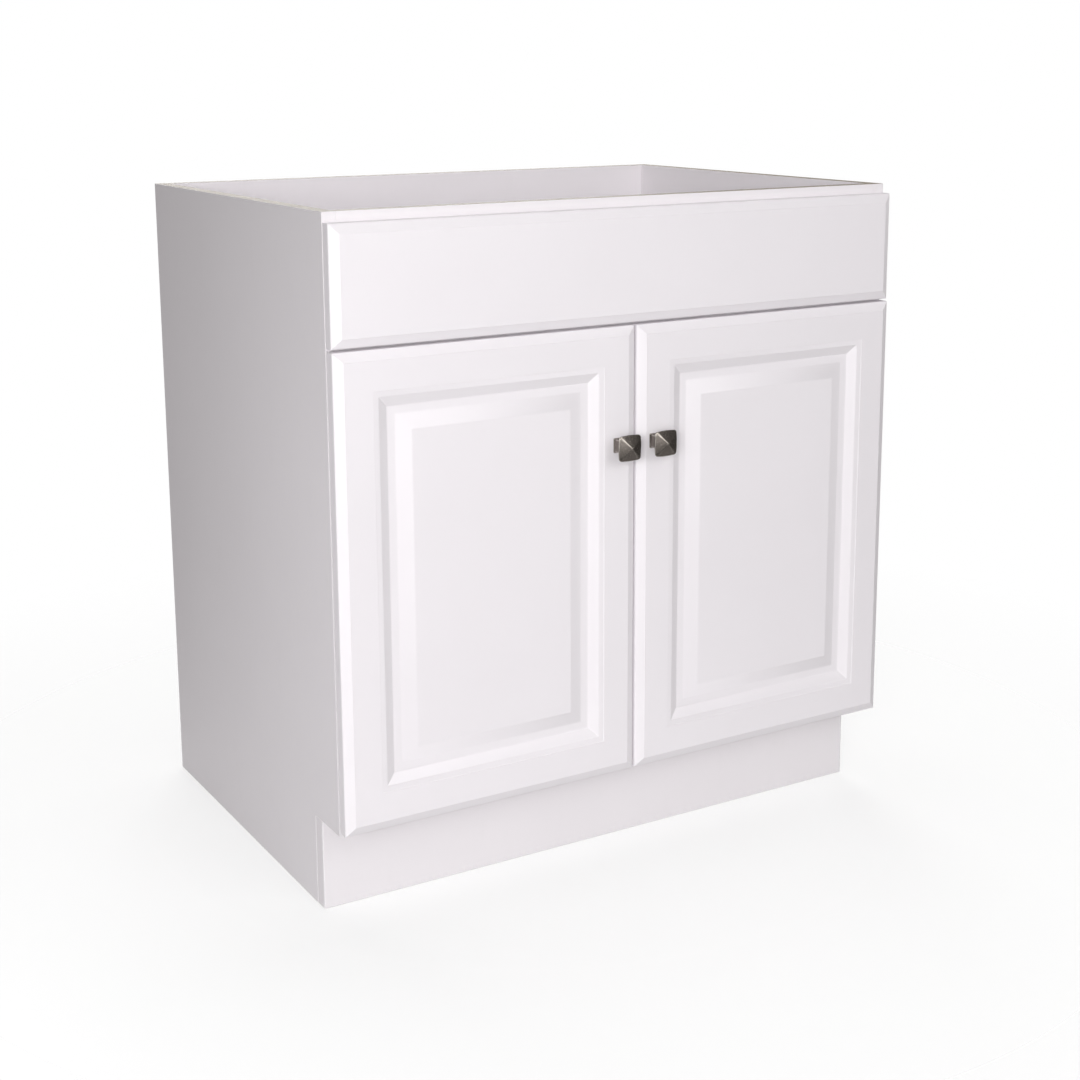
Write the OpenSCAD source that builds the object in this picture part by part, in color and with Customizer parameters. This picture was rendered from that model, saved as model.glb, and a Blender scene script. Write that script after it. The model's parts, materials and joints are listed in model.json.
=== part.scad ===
// Two-door bathroom vanity base cabinet: white panels, raised-panel doors, false drawer front,
// recessed toe kick, concealed cup hinges and square pyramid knobs. Millimetres, +Z up.
// The doors face -Y. The origin is the centre of the bounding box at floor level.

/* [Carcass] */
// Width across the two side panels
cabinet_w = 762; // [700:1:914]
// Height from the floor to the top edges
cabinet_h = 800.1; // [760:0.1:850]
// Depth of the side panels, without the doors
cabinet_d = 533.4; // [450:0.1:560]
// Thickness of the side, bottom and rail boards
board_t = 16; // [16:0.5:19]
// Height of the top front rail
top_rail_h = 100; // [90:1:110]
// Height of the rail behind the gap between the false front and the doors
mid_rail_h = 50; // [46:1:60]
// Height of the mid rail's lower edge
mid_rail_z = 630; // [620:1:636]
// Height of the upper back rail, which takes the wall screws
back_top_h = 110; // [100:1:130]
// Height of the lower back rail
back_bottom_h = 100; // [90:1:120]

/* [Toe kick] */
// Height of the toe kick board, and of the notch in the side panels
toe_h = 108; // [90:1:110]
// Distance of the toe kick's front from the cabinet face
toe_recess = 48; // [40:1:75]
// Thickness of the toe kick board
toe_t = 19; // [16:1:20]

/* [Doors and false front] */
// Thickness of the doors and the false front
door_t = 19; // [18:0.5:20]
// Gap between a closed door and the cabinet face
door_gap = 1.5; // [1.5:0.1:2.5]
// How far the fronts stop short of the cabinet's outer faces
side_reveal = 1; // [1:0.1:3]
// Gap between the two doors
centre_gap = 3; // [3:0.1:5]
// Height of the doors' lower edge
door_z = 112.7; // [110:0.1:116]
// Height of the doors
door_h = 541; // [538:0.1:542]
// Height of the false front's lower edge
false_z = 656.7; // [656:0.1:658]
// Height of the false front
false_h = 131.9; // [130:0.1:138]

/* [Front profiles] */
// Width of the sloped outer edge
edge_w = 10.5; // [8:0.5:12]
// Depth at which the outer slope would meet the side
edge_d = 5.5; // [3:0.5:6]
// Radius between the outer slope and the side
edge_r = 2.5; // [1:0.5:3]
// Flat border from a door's edge to its panel moulding
border_w = 44.5; // [40:0.5:60]
// Width of the shallow lip at the start of the panel moulding
lip_w = 6; // [4:0.5:8]
// Depth of the lip's inner edge
lip_d = 1.3; // [0.8:0.1:2]
// Width of the slope that falls from the lip into the groove
fall_w = 12.5; // [10:0.5:16]
// Width of the flat bottom of the groove
groove_w = 9; // [8:0.5:16]
// Width of the slope that rises from the groove to the centre panel
bevel_w = 17.5; // [12:0.5:24]
// Depth of the groove
groove_d = 8; // [6:0.1:9]
// Depth of the raised centre panel below the border
field_d = 1.2; // [0.5:0.1:2]
// Height of the small step at the start of a moulding
step_d = 0.5; // [0.4:0.1:0.7]

/* [Hinges] */
// Distance of the hinges from a door's upper and lower edges
hinge_inset = 85; // [70:1:110]
// Radius of the hinge cup
cup_r = 17.5; // [17.5:0.1:17.5]
// Distance from a door's edge to the centre of the cup
cup_inset = 23; // [22.5:0.1:23]
// Depth of the cup in the door
cup_depth = 12; // [11.5:0.1:12]
// Radius of the hinge pins
pin_r = 1.25; // [1:0.05:1.3]
// Running clearance between a pin and its link
pin_play = 0.05; // [0.02:0.01:0.1]

/* [Knobs] */
// Width of the square knob head
knob_w = 30; // [28:1:32]
// Distance from the door face to the knob's point
knob_projection = 28; // [26:1:32]
// Width of the square foot on the door
knob_foot_w = 17.5; // [16:0.5:20]
// Distance from a door's inner edge to the knob's centre
knob_inset = 23.5; // [20:0.5:30]
// Distance from a door's top edge to the knob's centre
knob_drop = 137.5; // [100:0.5:160]

/* [Fasteners] */
// Radius of the cam lock housings
cam_r = 7.5; // [7.5:0.1:7.5]
// Depth of the cam lock housings
cam_depth = 12.5; // [12:0.1:13]
// Distance from a board's end to the centre of its cam locks
cam_inset = 24; // [24:1:34]
// Radius of the wooden dowels
dowel_r = 4; // [4:0.1:4]
// Length of the wooden dowels
dowel_len = 30; // [25:1:30]
// Distance between the two wall screw holes
wall_hole_spacing = 406.4; // [400:0.1:410]
// Radius of the wall screw holes
wall_hole_r = 2.5; // [2:0.1:3]

/* [Hidden] */

// A small overshoot, so that a cut passes the face it opens
eps = 1;
// Facets of round parts
round_fn = 64;

// The cabinet face is the plane of the side panels' front edges
total_d = cabinet_d + door_gap + door_t + knob_projection;
face_y = knob_projection + door_t + door_gap - total_d / 2;
back_y = face_y + cabinet_d;
half_w = cabinet_w / 2;
inner_w = cabinet_w - 2 * board_t;

// Doors and false front
door_w = (cabinet_w - 2 * side_reveal - centre_gap) / 2;
door_back_y = face_y - door_gap;
door_front_y = door_back_y - door_t;
false_w = cabinet_w - 2 * side_reveal;
groove_at = border_w + lip_w + fall_w;
panel_margin = groove_at + groove_w + bevel_w;
// How far the cut over the centre panel reaches above its slopes
field_lap = 5;

// Toe kick
toe_front_y = face_y + toe_recess;
toe_back_y = toe_front_y + toe_t;

// Boards that lie between the side panels
top_rail_z = cabinet_h - top_rail_h;
back_top_z = cabinet_h - back_top_h;
floor_top_z = toe_h + board_t;

// Height of the wall screws and cam joints above the upper back rail's lower edge
back_screw_up = 35;
// Cam joints on one side: [y, z, angle of the cam's mouth about X]
front_axis_y = face_y + board_t / 2;
back_axis_y = back_y - board_t / 2;
top_joint_z = top_rail_z + top_rail_h / 2;
mid_joint_z = mid_rail_z + mid_rail_h / 2;
back_top_joint_z = back_top_z + back_screw_up;
back_bottom_joint_z = floor_top_z + back_bottom_h / 2;
floor_axis_z = toe_h + board_t / 2;
floor_joint_at = [100, 430];
floor_joint_y = [for (d = floor_joint_at) face_y + d];
cam_joints = concat(
    [
        [front_axis_y, top_joint_z, 0],
        [front_axis_y, mid_joint_z, 0],
        [back_axis_y, back_top_joint_z, 180],
        [back_axis_y, back_bottom_joint_z, 180]
    ],
    [for (y = floor_joint_y) [y, floor_axis_z, -90]]
);
// Dowels stand on both sides of each cam joint: [y, z]
rail_dowel_gap = 30;
mid_dowel_gap = 16;
back_dowel_gap = 24;
floor_dowel_gap = 40;
dowel_spots = concat(
    [for (s = [-1, 1]) [front_axis_y, top_joint_z + s * rail_dowel_gap]],
    [for (s = [-1, 1]) [front_axis_y, mid_joint_z + s * mid_dowel_gap]],
    [for (s = [-1, 1]) [back_axis_y, back_top_joint_z + s * back_dowel_gap]],
    [for (s = [-1, 1]) [back_axis_y, back_bottom_joint_z + s * rail_dowel_gap]],
    [for (y = floor_joint_y, s = [-1, 1]) [y + s * floor_dowel_gap, floor_axis_z]]
);
dowel_in_side = 11;
// Cam bolt: thread in the side panel, shank in the board, neck and ball in the cam
bolt_thread_r = 2.5;
bolt_thread_len = 10;
bolt_shank_r = 3.5;
bolt_neck_r = 1.8;
bolt_ball_r = 3;
cam_slot_r = 3.3;
cam_cross_w = 1.6;
cam_cross_len = 9;
cam_cross_depth = 2;

// Wood screws and their heads
screw_r = 2;
screw_head_r = 4;
screw_head_t = 2.4;
screw_bite = 10;
false_screw_x = 300;
false_screw_top = 60;
false_screw_low = 11;
false_screw_z = [top_rail_z + false_screw_top, false_z + false_screw_low];

// Corner blocks, as [y of the corner, direction into the cabinet, lower z]
block_leg = 45;
block_t = 18;
front_block_up = 65;
back_block_up = 10;
block_spots = [
    [face_y + board_t, 1, top_rail_z + front_block_up],
    [back_y - board_t, -1, back_top_z + back_block_up]
];
block_screw_in = 14;
block_screw_z = block_t / 2;
block_screw_reach = 12;

// Toe kick brackets
bracket_x = 200;
bracket_w = 30;
bracket_leg = 28;
bracket_t = 3;
bracket_screw_len = 13;
bracket_screw_at = 17;

// Concealed hinge, measured from the cabinet's outer face (x) and from its face plane (y)
cup_x = side_reveal + cup_inset;
arm_pin_x = 34.5;
arm_pin_y = -9;
cup_pin_x = 14;
cup_pin_y = -3;
hinge_z = [door_z + hinge_inset, door_z + door_h - hinge_inset];
cup_wall = 1;
flange_t = 1.2;
flange_x0 = 17;
flange_x1 = 42;
flange_half_h = 31;
flange_corner_r = 7;
flange_lap = 2;
cup_screw_x = 31;
cup_screw_z = 24;
cup_screw_r = 2;
cup_screw_head_r = 3.4;
cup_screw_head_t = 0.6;
cup_screw_len = 10;
ear_z = 7;
ear_t = 2;
ear_r = 2.3;
link_t = 6;
link_r = 2.3;
link_bar_r = 1.2;
cheek_z = 3.2;
cheek_t = 2;
cheek_r = 2.4;
arm_root_x = 24;
arm_root_y = 12;
arm_off = 4.5;
arm_t = 7;
arm_x0 = board_t + arm_off;
arm_x1 = arm_x0 + arm_t;
arm_y0 = 9;
arm_y1 = 68;
arm_half_w = 6.5;
arm_wall = 1.5;
rib_half_w = 4.5;
plate_t = 2.5;
plate_y0 = 24;
plate_y1 = 50;
plate_half_h = 24;
plate_corner_r = 6;
rib_t = 6.5;
rib_x1 = board_t + rib_t;
rib_y1 = 64;
plate_screw_y = 37;
plate_screw_z = 16;
plate_screw_r = 2.5;
plate_screw_head_r = 4;
plate_screw_head_t = 1.6;
plate_screw_len = 10;
arm_screw_y = 56;
arm_screw_r = 2;
arm_screw_head_r = 3;
arm_screw_head_t = 1.5;
arm_screw_len = 5;

// Door bumpers
bumper_r = 4;
bumper_play = 0.2;
bumper_t = door_gap - bumper_play;
bumper_inset_x = 20;
bumper_inset_z = 6;

// Knob
knob_x = centre_gap / 2 + knob_inset;
knob_z = door_z + door_h - knob_drop;
knob_peak = 4;
knob_border_w = 3;
knob_border_h = 2;
knob_rim = 1.5;
knob_flare = 4.5;
knob_round_r = 20;
knob_waist_w = 15;
knob_tip_w = 0.5;
knob_foot_t = 2;
knob_foot_slope = 2;
knob_post_len = knob_projection - knob_peak - knob_border_h - knob_rim - knob_flare;
knob_screw_r = 2;
knob_screw_head_r = 4.5;
knob_screw_head_t = 2.2;

// ---- shared shapes ----

// Draws its children on the left side, or mirrored on the right side
module on_side(side) {
    if (side < 0) children();
    else mirror([1, 0, 0]) children();
}

// Places the hinge's own axes: x from the outer face, y from the face plane, z from the hinge
module at_hinges(side) {
    on_side(side)
        for (z = hinge_z)
            translate([-half_w, face_y, z])
                children();
}

// A round bar along +X
module bar_x(r, len) {
    rotate([0, 90, 0])
        cylinder(r = r, h = len, $fn = round_fn);
}

// A round bar along +Y
module bar_y(r, len) {
    rotate([-90, 0, 0])
        cylinder(r = r, h = len, $fn = round_fn);
}

// A flat bar between two points of the XY plane, centred on z = 0
module flat_bar(from, to, r, t) {
    run = to - from;
    translate([from[0], from[1], 0])
        rotate([0, 0, atan2(run[1], run[0])])
            translate([0, -r, -t / 2])
                cube([norm(run), 2 * r, t]);
}

// A pin or eye along Z, centred on z = 0
module post_z(at, r, t) {
    translate([at[0], at[1], -t / 2])
        cylinder(r = r, h = t, $fn = round_fn);
}

// A rounded plate in the YZ plane: x is its thickness
module rounded_plate(size, r) {
    translate([0, r, 0])
        cube([size[0], size[1] - 2 * r, size[2]]);
    translate([0, 0, r])
        cube([size[0], size[1], size[2] - 2 * r]);
    for (y = [r, size[1] - r], z = [r, size[2] - r])
        translate([0, y, z])
            bar_x(r, size[0]);
}

// ---- moulded fronts ----

// The rounding between a front's side and its outer slope, as an arc of edge_arc_steps facets
edge_slope = atan((edge_d - step_d) / edge_w);
edge_arc_d = edge_d - edge_r * tan(edge_slope) + edge_r / cos(edge_slope);
edge_arc_steps = 8;
edge_arc = [
    for (i = [0:edge_arc_steps])
        let (a = (90 - edge_slope) * i / edge_arc_steps)
            [edge_arc_d - edge_r * sin(a), edge_r * (1 - cos(a))]
];
// Outlines of the two mouldings, as [depth, distance from the edge]
edge_outline = concat(
    [[-eps, -eps], [edge_arc_d, -eps]],
    edge_arc,
    [[step_d, edge_w], [-eps, edge_w]]
);
panel_outline = [
    [-eps, border_w],
    [step_d, border_w],
    [lip_d, border_w + lip_w],
    [groove_d, groove_at],
    [groove_d, groove_at + groove_w],
    [field_d, panel_margin],
    [-eps, panel_margin]
];

// One mitred side of a moulding, cut along the lower edge of a front
module moulding_side(len, outline, reach) {
    intersection() {
        translate([-eps, 0, 0])
            rotate([90, 0, 90])
                linear_extrude(len + 2 * eps)
                    polygon(outline);
        translate([0, door_t, 0])
            rotate([90, 0, 0])
                linear_extrude(door_t + 2 * eps)
                    polygon([[-eps, -eps], [len + eps, -eps], [len - reach, reach], [reach, reach]]);
    }
}

// The moulding on all four sides of a front of size w by h
module moulding_frame(w, h, outline, reach) {
    moulding_side(w, outline, reach);
    translate([w, 0, h])
        rotate([0, 180, 0])
            moulding_side(w, outline, reach);
    translate([0, 0, h])
        rotate([0, 90, 0])
            moulding_side(h, outline, reach);
    translate([w, 0, 0])
        rotate([0, -90, 0])
            moulding_side(h, outline, reach);
}

// A front slab with the moulded outer edge; its face is y = 0
module front_slab(w, h) {
    difference() {
        cube([w, door_t, h]);
        moulding_frame(w, h, edge_outline, edge_w + eps);
    }
}

// ---- carcass boards ----

module side_panel(side) {
    color("white")
        on_side(side)
            difference() {
                translate([-half_w, 0, 0])
                    rotate([90, 0, 90])
                        linear_extrude(board_t)
                            polygon([
                                [face_y, toe_h], [toe_back_y, toe_h], [toe_back_y, 0],
                                [back_y, 0], [back_y, cabinet_h], [face_y, cabinet_h]
                            ]);
                joint_cuts();
                at_hinges(-1)
                    for (s = [-1, 1])
                        translate([board_t - plate_screw_len, plate_screw_y, s * plate_screw_z])
                            bar_x(plate_screw_r, plate_screw_len + eps);
                for (b = block_spots)
                    translate([-half_w + board_t, b[0], b[2]])
                        block_side_screw(b[1]);
            }
}

// Every cut of the left end's joints: cam bolts, cams and dowels
module joint_cuts() {
    for (j = cam_joints)
        translate([-half_w + board_t, j[0], j[1]])
            rotate([j[2], 0, 0]) {
                translate([-bolt_thread_len, 0, 0])
                    bar_x(bolt_thread_r, bolt_thread_len);
                bar_x(bolt_shank_r, cam_inset);
                translate([cam_inset, board_t / 2 - cam_depth, 0])
                    bar_y(cam_r, cam_depth + eps);
            }
    for (d = dowel_spots)
        translate([-half_w + board_t - dowel_in_side, d[0], d[1]])
            bar_x(dowel_r, dowel_len);
}

// The joint cuts at both ends of a board between the side panels
module both_joint_cuts() {
    joint_cuts();
    mirror([1, 0, 0])
        joint_cuts();
}

// A board between the side panels
module cross_board(y, z, depth, height) {
    translate([-inner_w / 2, y, z])
        cube([inner_w, depth, height]);
}

module left_side_panel() {
    side_panel(-1);
}

module right_side_panel() {
    side_panel(1);
}

module bottom_panel() {
    color("white")
        difference() {
            cross_board(face_y, toe_h, cabinet_d, board_t);
            both_joint_cuts();
            bracket_screws();
        }
}

module toe_kick_board() {
    color("white")
        difference() {
            translate([-half_w, toe_front_y, 0])
                cube([cabinet_w, toe_t, toe_h]);
            bracket_screws();
        }
}

module top_front_rail() {
    color("white")
        difference() {
            cross_board(face_y, top_rail_z, board_t, top_rail_h);
            both_joint_cuts();
            false_screws();
            block_screws();
        }
}

module mid_front_rail() {
    color("white")
        difference() {
            cross_board(face_y, mid_rail_z, board_t, mid_rail_h);
            both_joint_cuts();
            false_screws();
        }
}

module back_top_rail() {
    color("white")
        difference() {
            cross_board(back_y - board_t, back_top_z, board_t, back_top_h);
            both_joint_cuts();
            block_screws();
            for (s = [-1, 1])
                translate([s * wall_hole_spacing / 2, back_y - board_t - eps, back_top_joint_z])
                    bar_y(wall_hole_r, board_t + 2 * eps);
        }
}

module back_bottom_rail() {
    color("white")
        difference() {
            cross_board(back_y - board_t, floor_top_z, board_t, back_bottom_h);
            both_joint_cuts();
        }
}

module false_front() {
    color("white")
        difference() {
            translate([-false_w / 2, face_y - door_t, false_z])
                front_slab(false_w, false_h);
            false_screws();
        }
}

// ---- carcass fasteners ----

// Screws through the front rails into the back of the false front
module false_screws() {
    for (x = [-false_screw_x, false_screw_x], z = false_screw_z)
        translate([x, face_y - screw_bite, z]) {
            bar_y(screw_r, screw_bite + board_t);
            translate([0, screw_bite + board_t, 0])
                bar_y(screw_head_r, screw_head_t);
        }
}

module false_front_screws() {
    color("silver")
        false_screws();
}

// One triangular corner block at the left end; dir points into the cabinet
module corner_block(dir) {
    linear_extrude(block_t)
        polygon([[0, 0], [block_leg, 0], [0, dir * block_leg]]);
}

// The screw that runs from a corner block into the side panel
module block_side_screw(dir) {
    translate([-screw_bite, dir * block_screw_in, block_screw_z]) {
        bar_x(screw_r, screw_bite + block_screw_reach);
        translate([screw_bite + block_screw_reach, 0, 0])
            bar_x(screw_head_r, screw_head_t);
    }
}

// The screw that runs from a corner block into the rail behind it
module block_rail_screw(dir) {
    mirror([0, dir > 0 ? 0 : 1, 0])
        translate([block_screw_in + block_screw_reach, -screw_bite, block_screw_z]) {
            bar_y(screw_r, screw_bite + block_screw_reach / 2);
            translate([0, screw_bite + block_screw_reach / 2, 0])
                bar_y(screw_head_r, screw_head_t);
        }
}

module block_screws() {
    for (side = [-1, 1])
        on_side(side)
            for (b = block_spots)
                translate([-half_w + board_t, b[0], b[2]]) {
                    block_side_screw(b[1]);
                    block_rail_screw(b[1]);
                }
}

module corner_blocks() {
    color("white")
        difference() {
            for (side = [-1, 1])
                on_side(side)
                    for (b = block_spots)
                        translate([-half_w + board_t, b[0], b[2]])
                            corner_block(b[1]);
            block_screws();
            block_head_room();
        }
}

// Counterbores that let a driver reach the corner block screws
module block_head_room() {
    for (side = [-1, 1])
        on_side(side)
            for (b = block_spots)
                translate([-half_w + board_t, b[0], b[2]]) {
                    translate([block_screw_reach, b[1] * block_screw_in, block_screw_z])
                        bar_x(screw_head_r, block_leg);
                    mirror([0, b[1] > 0 ? 0 : 1, 0])
                        translate([
                            block_screw_in + block_screw_reach, block_screw_reach / 2, block_screw_z
                        ])
                            bar_y(screw_head_r, block_leg);
                }
}

module corner_block_screws() {
    color("silver")
        block_screws();
}

// Screws of the toe kick brackets: one up into the bottom, one forward into the toe kick
module bracket_screws() {
    for (s = [-1, 1])
        translate([s * bracket_x, toe_back_y, toe_h]) {
            translate([0, bracket_screw_at, -bracket_t])
                cylinder(r = screw_r, h = bracket_screw_len, $fn = round_fn);
            translate([0, bracket_screw_at, -bracket_t - screw_head_t])
                cylinder(r = screw_head_r, h = screw_head_t, $fn = round_fn);
            translate([0, bracket_t - bracket_screw_len, -bracket_screw_at])
                bar_y(screw_r, bracket_screw_len);
            translate([0, bracket_t, -bracket_screw_at])
                bar_y(screw_head_r, screw_head_t);
        }
}

module toe_kick_brackets() {
    color("gainsboro")
        difference() {
            for (s = [-1, 1])
                translate([s * bracket_x - bracket_w / 2, toe_back_y, toe_h - bracket_leg]) {
                    cube([bracket_w, bracket_t, bracket_leg]);
                    translate([0, 0, bracket_leg - bracket_t])
                        cube([bracket_w, bracket_leg, bracket_t]);
                }
            bracket_screws();
        }
}

module toe_kick_screws() {
    color("silver")
        bracket_screws();
}

module cam_locks() {
    color("silver")
        for (side = [-1, 1])
            on_side(side)
                for (j = cam_joints)
                    translate([-half_w + board_t, j[0], j[1]])
                        rotate([j[2], 0, 0])
                            cam_lock();
}

// A cam lock around the bolt's axis, with a cross recess in its mouth
module cam_lock() {
    difference() {
        translate([cam_inset, board_t / 2 - cam_depth, 0])
            bar_y(cam_r, cam_depth);
        translate([cam_inset - cam_r - eps, 0, 0])
            bar_x(cam_slot_r, cam_r + eps + bolt_ball_r);
        for (turn = [0, 90])
            translate([cam_inset, board_t / 2, 0])
                rotate([0, turn, 0])
                    cube([cam_cross_len, 2 * cam_cross_depth, cam_cross_w], center = true);
    }
}

module cam_bolts() {
    color("silver")
        for (side = [-1, 1])
            on_side(side)
                for (j = cam_joints)
                    translate([-half_w + board_t, j[0], j[1]])
                        cam_bolt();
}

// A cam bolt along X, with its thread in the side panel
module cam_bolt() {
    shank_len = cam_inset - cam_r - eps;
    translate([-bolt_thread_len, 0, 0])
        bar_x(bolt_thread_r, bolt_thread_len);
    bar_x(bolt_shank_r, shank_len);
    translate([shank_len, 0, 0])
        bar_x(bolt_neck_r, cam_inset - shank_len);
    translate([cam_inset - bolt_ball_r, 0, 0])
        bar_x(bolt_ball_r, bolt_ball_r);
}

module dowels() {
    color("burlywood")
        for (side = [-1, 1])
            on_side(side)
                for (d = dowel_spots)
                    translate([-half_w + board_t - dowel_in_side, d[0], d[1]])
                        bar_x(dowel_r, dowel_len);
}

// ---- concealed hinges ----

// Screws of one mounting plate, along +X from inside the side panel
module plate_screws() {
    for (s = [-1, 1])
        translate([board_t - plate_screw_len, plate_screw_y, s * plate_screw_z]) {
            bar_x(plate_screw_r, plate_screw_len + plate_t);
            translate([plate_screw_len + plate_t, 0, 0])
                bar_x(plate_screw_head_r, plate_screw_head_t);
        }
}

// The screw that clamps an arm to its mounting plate
module arm_screw() {
    translate([arm_x1 - arm_screw_len, arm_screw_y, 0]) {
        bar_x(arm_screw_r, arm_screw_len);
        translate([arm_screw_len, 0, 0])
            bar_x(arm_screw_head_r, arm_screw_head_t);
    }
}

module hinge_plates(side) {
    color("silver")
        at_hinges(side)
            difference() {
                union() {
                    translate([board_t, plate_y0, -plate_half_h])
                        rounded_plate([plate_t, plate_y1 - plate_y0, 2 * plate_half_h], plate_corner_r);
                    translate([board_t, plate_y0, -rib_half_w])
                        cube([rib_x1 - board_t, rib_y1 - plate_y0, 2 * rib_half_w]);
                }
                plate_screws();
                arm_screw();
            }
}

module hinge_plate_screws(side) {
    color("silver")
        at_hinges(side)
            plate_screws();
}

module hinge_arms(side) {
    nose = [arm_pin_x, arm_pin_y];
    root = [arm_root_x, arm_root_y];
    color("silver")
        at_hinges(side)
            difference() {
                union() {
                    for (s = [-1, 1])
                        translate([0, 0, s * (cheek_z + cheek_t / 2)]) {
                            flat_bar(nose, root, cheek_r, cheek_t);
                            post_z(nose, cheek_r, cheek_t);
                        }
                    translate([arm_x0, arm_y0, -arm_half_w])
                        cube([arm_x1 - arm_x0, arm_y1 - arm_y0, 2 * arm_half_w]);
                }
                translate([arm_x0 - eps, plate_y0 - eps, arm_wall - arm_half_w])
                    cube([rib_x1 - arm_x0 + eps, arm_y1, 2 * (arm_half_w - arm_wall)]);
                post_z(nose, pin_r, 2 * arm_half_w);
                arm_screw();
            }
}

module hinge_arm_screws(side) {
    color("silver")
        at_hinges(side)
            arm_screw();
}

module hinge_arm_pins(side) {
    color("silver")
        at_hinges(side)
            post_z([arm_pin_x, arm_pin_y], pin_r, 2 * (cheek_z + cheek_t));
}

module hinge_links(side) {
    color("silver")
        at_hinges(side)
            translate([0, 0, -link_t / 2])
                linear_extrude(link_t)
                    link_outline();
}

// The link's outline from above: a straight bar with an eye at each end
module link_outline() {
    ends = [[arm_pin_x, arm_pin_y], [cup_pin_x, cup_pin_y]];
    run = ends[1] - ends[0];
    difference() {
        union() {
            for (p = ends)
                translate(p)
                    circle(r = link_r, $fn = round_fn);
            translate(ends[0])
                rotate(atan2(run[1], run[0]))
                    translate([link_r - eps / 2, -link_bar_r])
                        square([norm(run) - 2 * link_r + eps, 2 * link_bar_r]);
        }
        for (p = ends)
            translate(p)
                circle(r = pin_r + pin_play, $fn = round_fn);
    }
}

// The screws of one hinge cup, along Y into the door
module cup_screws() {
    for (s = [-1, 1])
        translate([cup_screw_x, flange_t - door_gap - cup_screw_len, s * cup_screw_z]) {
            bar_y(cup_screw_r, cup_screw_len);
            translate([0, cup_screw_len, 0])
                bar_y(cup_screw_head_r, cup_screw_head_t);
        }
}

// The cup's flange on the back of the door, kept clear of the side panel's edge
module cup_flange() {
    translate([0, flange_t - door_gap, 0])
        rotate([90, 0, 0])
            linear_extrude(flange_t)
                intersection() {
                    union() {
                        translate([cup_x, 0])
                            circle(r = cup_r + 2 * cup_wall, $fn = round_fn);
                        translate([(flange_x0 + flange_x1) / 2 + flange_lap, 0])
                            square([
                                flange_x1 - flange_x0 - 2 * flange_lap,
                                2 * (flange_half_h - flange_corner_r)
                            ], center = true);
                        for (s = [-1, 1])
                            translate([cup_screw_x, s * cup_screw_z])
                                circle(r = flange_corner_r, $fn = round_fn);
                    }
                    translate([flange_x0, -flange_half_h])
                        square([flange_x1, 2 * flange_half_h]);
                }
}

module hinge_cups(side) {
    color("silver")
        at_hinges(side)
            difference() {
                union() {
                    translate([cup_x, -door_gap - cup_depth, 0])
                        bar_y(cup_r, cup_depth);
                    cup_flange();
                }
                difference() {
                    translate([cup_x, cup_wall - door_gap - cup_depth, 0])
                        bar_y(cup_r - cup_wall, cup_depth + 2 * flange_t);
                    cup_ears();
                }
                post_z([cup_pin_x, cup_pin_y], pin_r, 2 * (ear_z + ear_t));
                cup_screws();
            }
}

// The two ears in the cup that hold its pin
module cup_ears() {
    for (s = [-1, 1])
        translate([0, 0, s * (ear_z + ear_t / 2)]) {
            flat_bar([cup_pin_x, cup_pin_y], [cup_pin_x, -door_gap - cup_depth], ear_r, ear_t);
            post_z([cup_pin_x, cup_pin_y], ear_r, ear_t);
        }
}

module hinge_cup_pins(side) {
    color("silver")
        at_hinges(side)
            post_z([cup_pin_x, cup_pin_y], pin_r, 2 * (ear_z + ear_t));
}

module hinge_cup_screws(side) {
    color("silver")
        at_hinges(side)
            cup_screws();
}

// ---- doors ----

module door(side) {
    color("white")
        on_side(side)
            difference() {
                translate([side_reveal - half_w, door_front_y, door_z])
                    difference() {
                        front_slab(door_w, door_h);
                        moulding_frame(door_w, door_h, panel_outline, panel_margin + eps);
                        translate([panel_margin - field_lap, -eps, panel_margin - field_lap])
                            cube([
                                door_w - 2 * (panel_margin - field_lap),
                                field_d + eps,
                                door_h - 2 * (panel_margin - field_lap)
                            ]);
                    }
                at_hinges(-1) {
                    translate([cup_x, -door_gap - cup_depth, 0])
                        bar_y(cup_r, cup_depth + eps);
                    cup_screws();
                }
                translate([-knob_x, door_front_y - eps, knob_z])
                    bar_y(knob_screw_r, door_t + 2 * eps);
            }
}

module door_bumpers(side) {
    color("ivory")
        on_side(side)
            for (z = [bumper_inset_z, door_h - bumper_inset_z])
                translate([-centre_gap / 2 - bumper_inset_x, door_back_y, door_z + z])
                    bar_y(bumper_r, bumper_t);
}

// Places a knob's own axes: z points out of the door, from its face
module at_knob(side) {
    on_side(side)
        translate([-knob_x, door_front_y, knob_z])
            rotate([90, 0, 0])
                children();
}

// A square block whose width changes from w0 to w1 over its height
module taper(w0, w1, h) {
    linear_extrude(h, scale = w1 / w0)
        square(w0, center = true);
}

module knob_head(side) {
    peak_w = knob_w - 2 * knob_border_w;
    color("dimgray")
        at_knob(side)
            translate([0, 0, knob_post_len])
                difference() {
                    intersection() {
                        union() {
                            taper(knob_waist_w, knob_w, knob_flare);
                            translate([-knob_w / 2, -knob_w / 2, knob_flare])
                                cube([knob_w, knob_w, knob_rim]);
                            translate([0, 0, knob_flare + knob_rim])
                                taper(knob_w, peak_w, knob_border_h);
                            translate([0, 0, knob_flare + knob_rim + knob_border_h])
                                taper(peak_w, knob_tip_w, knob_peak);
                        }
                        cylinder(r = knob_round_r, h = knob_projection, $fn = round_fn);
                    }
                    cylinder(r = knob_screw_r, h = knob_flare / 2, $fn = round_fn);
                }
}

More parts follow.
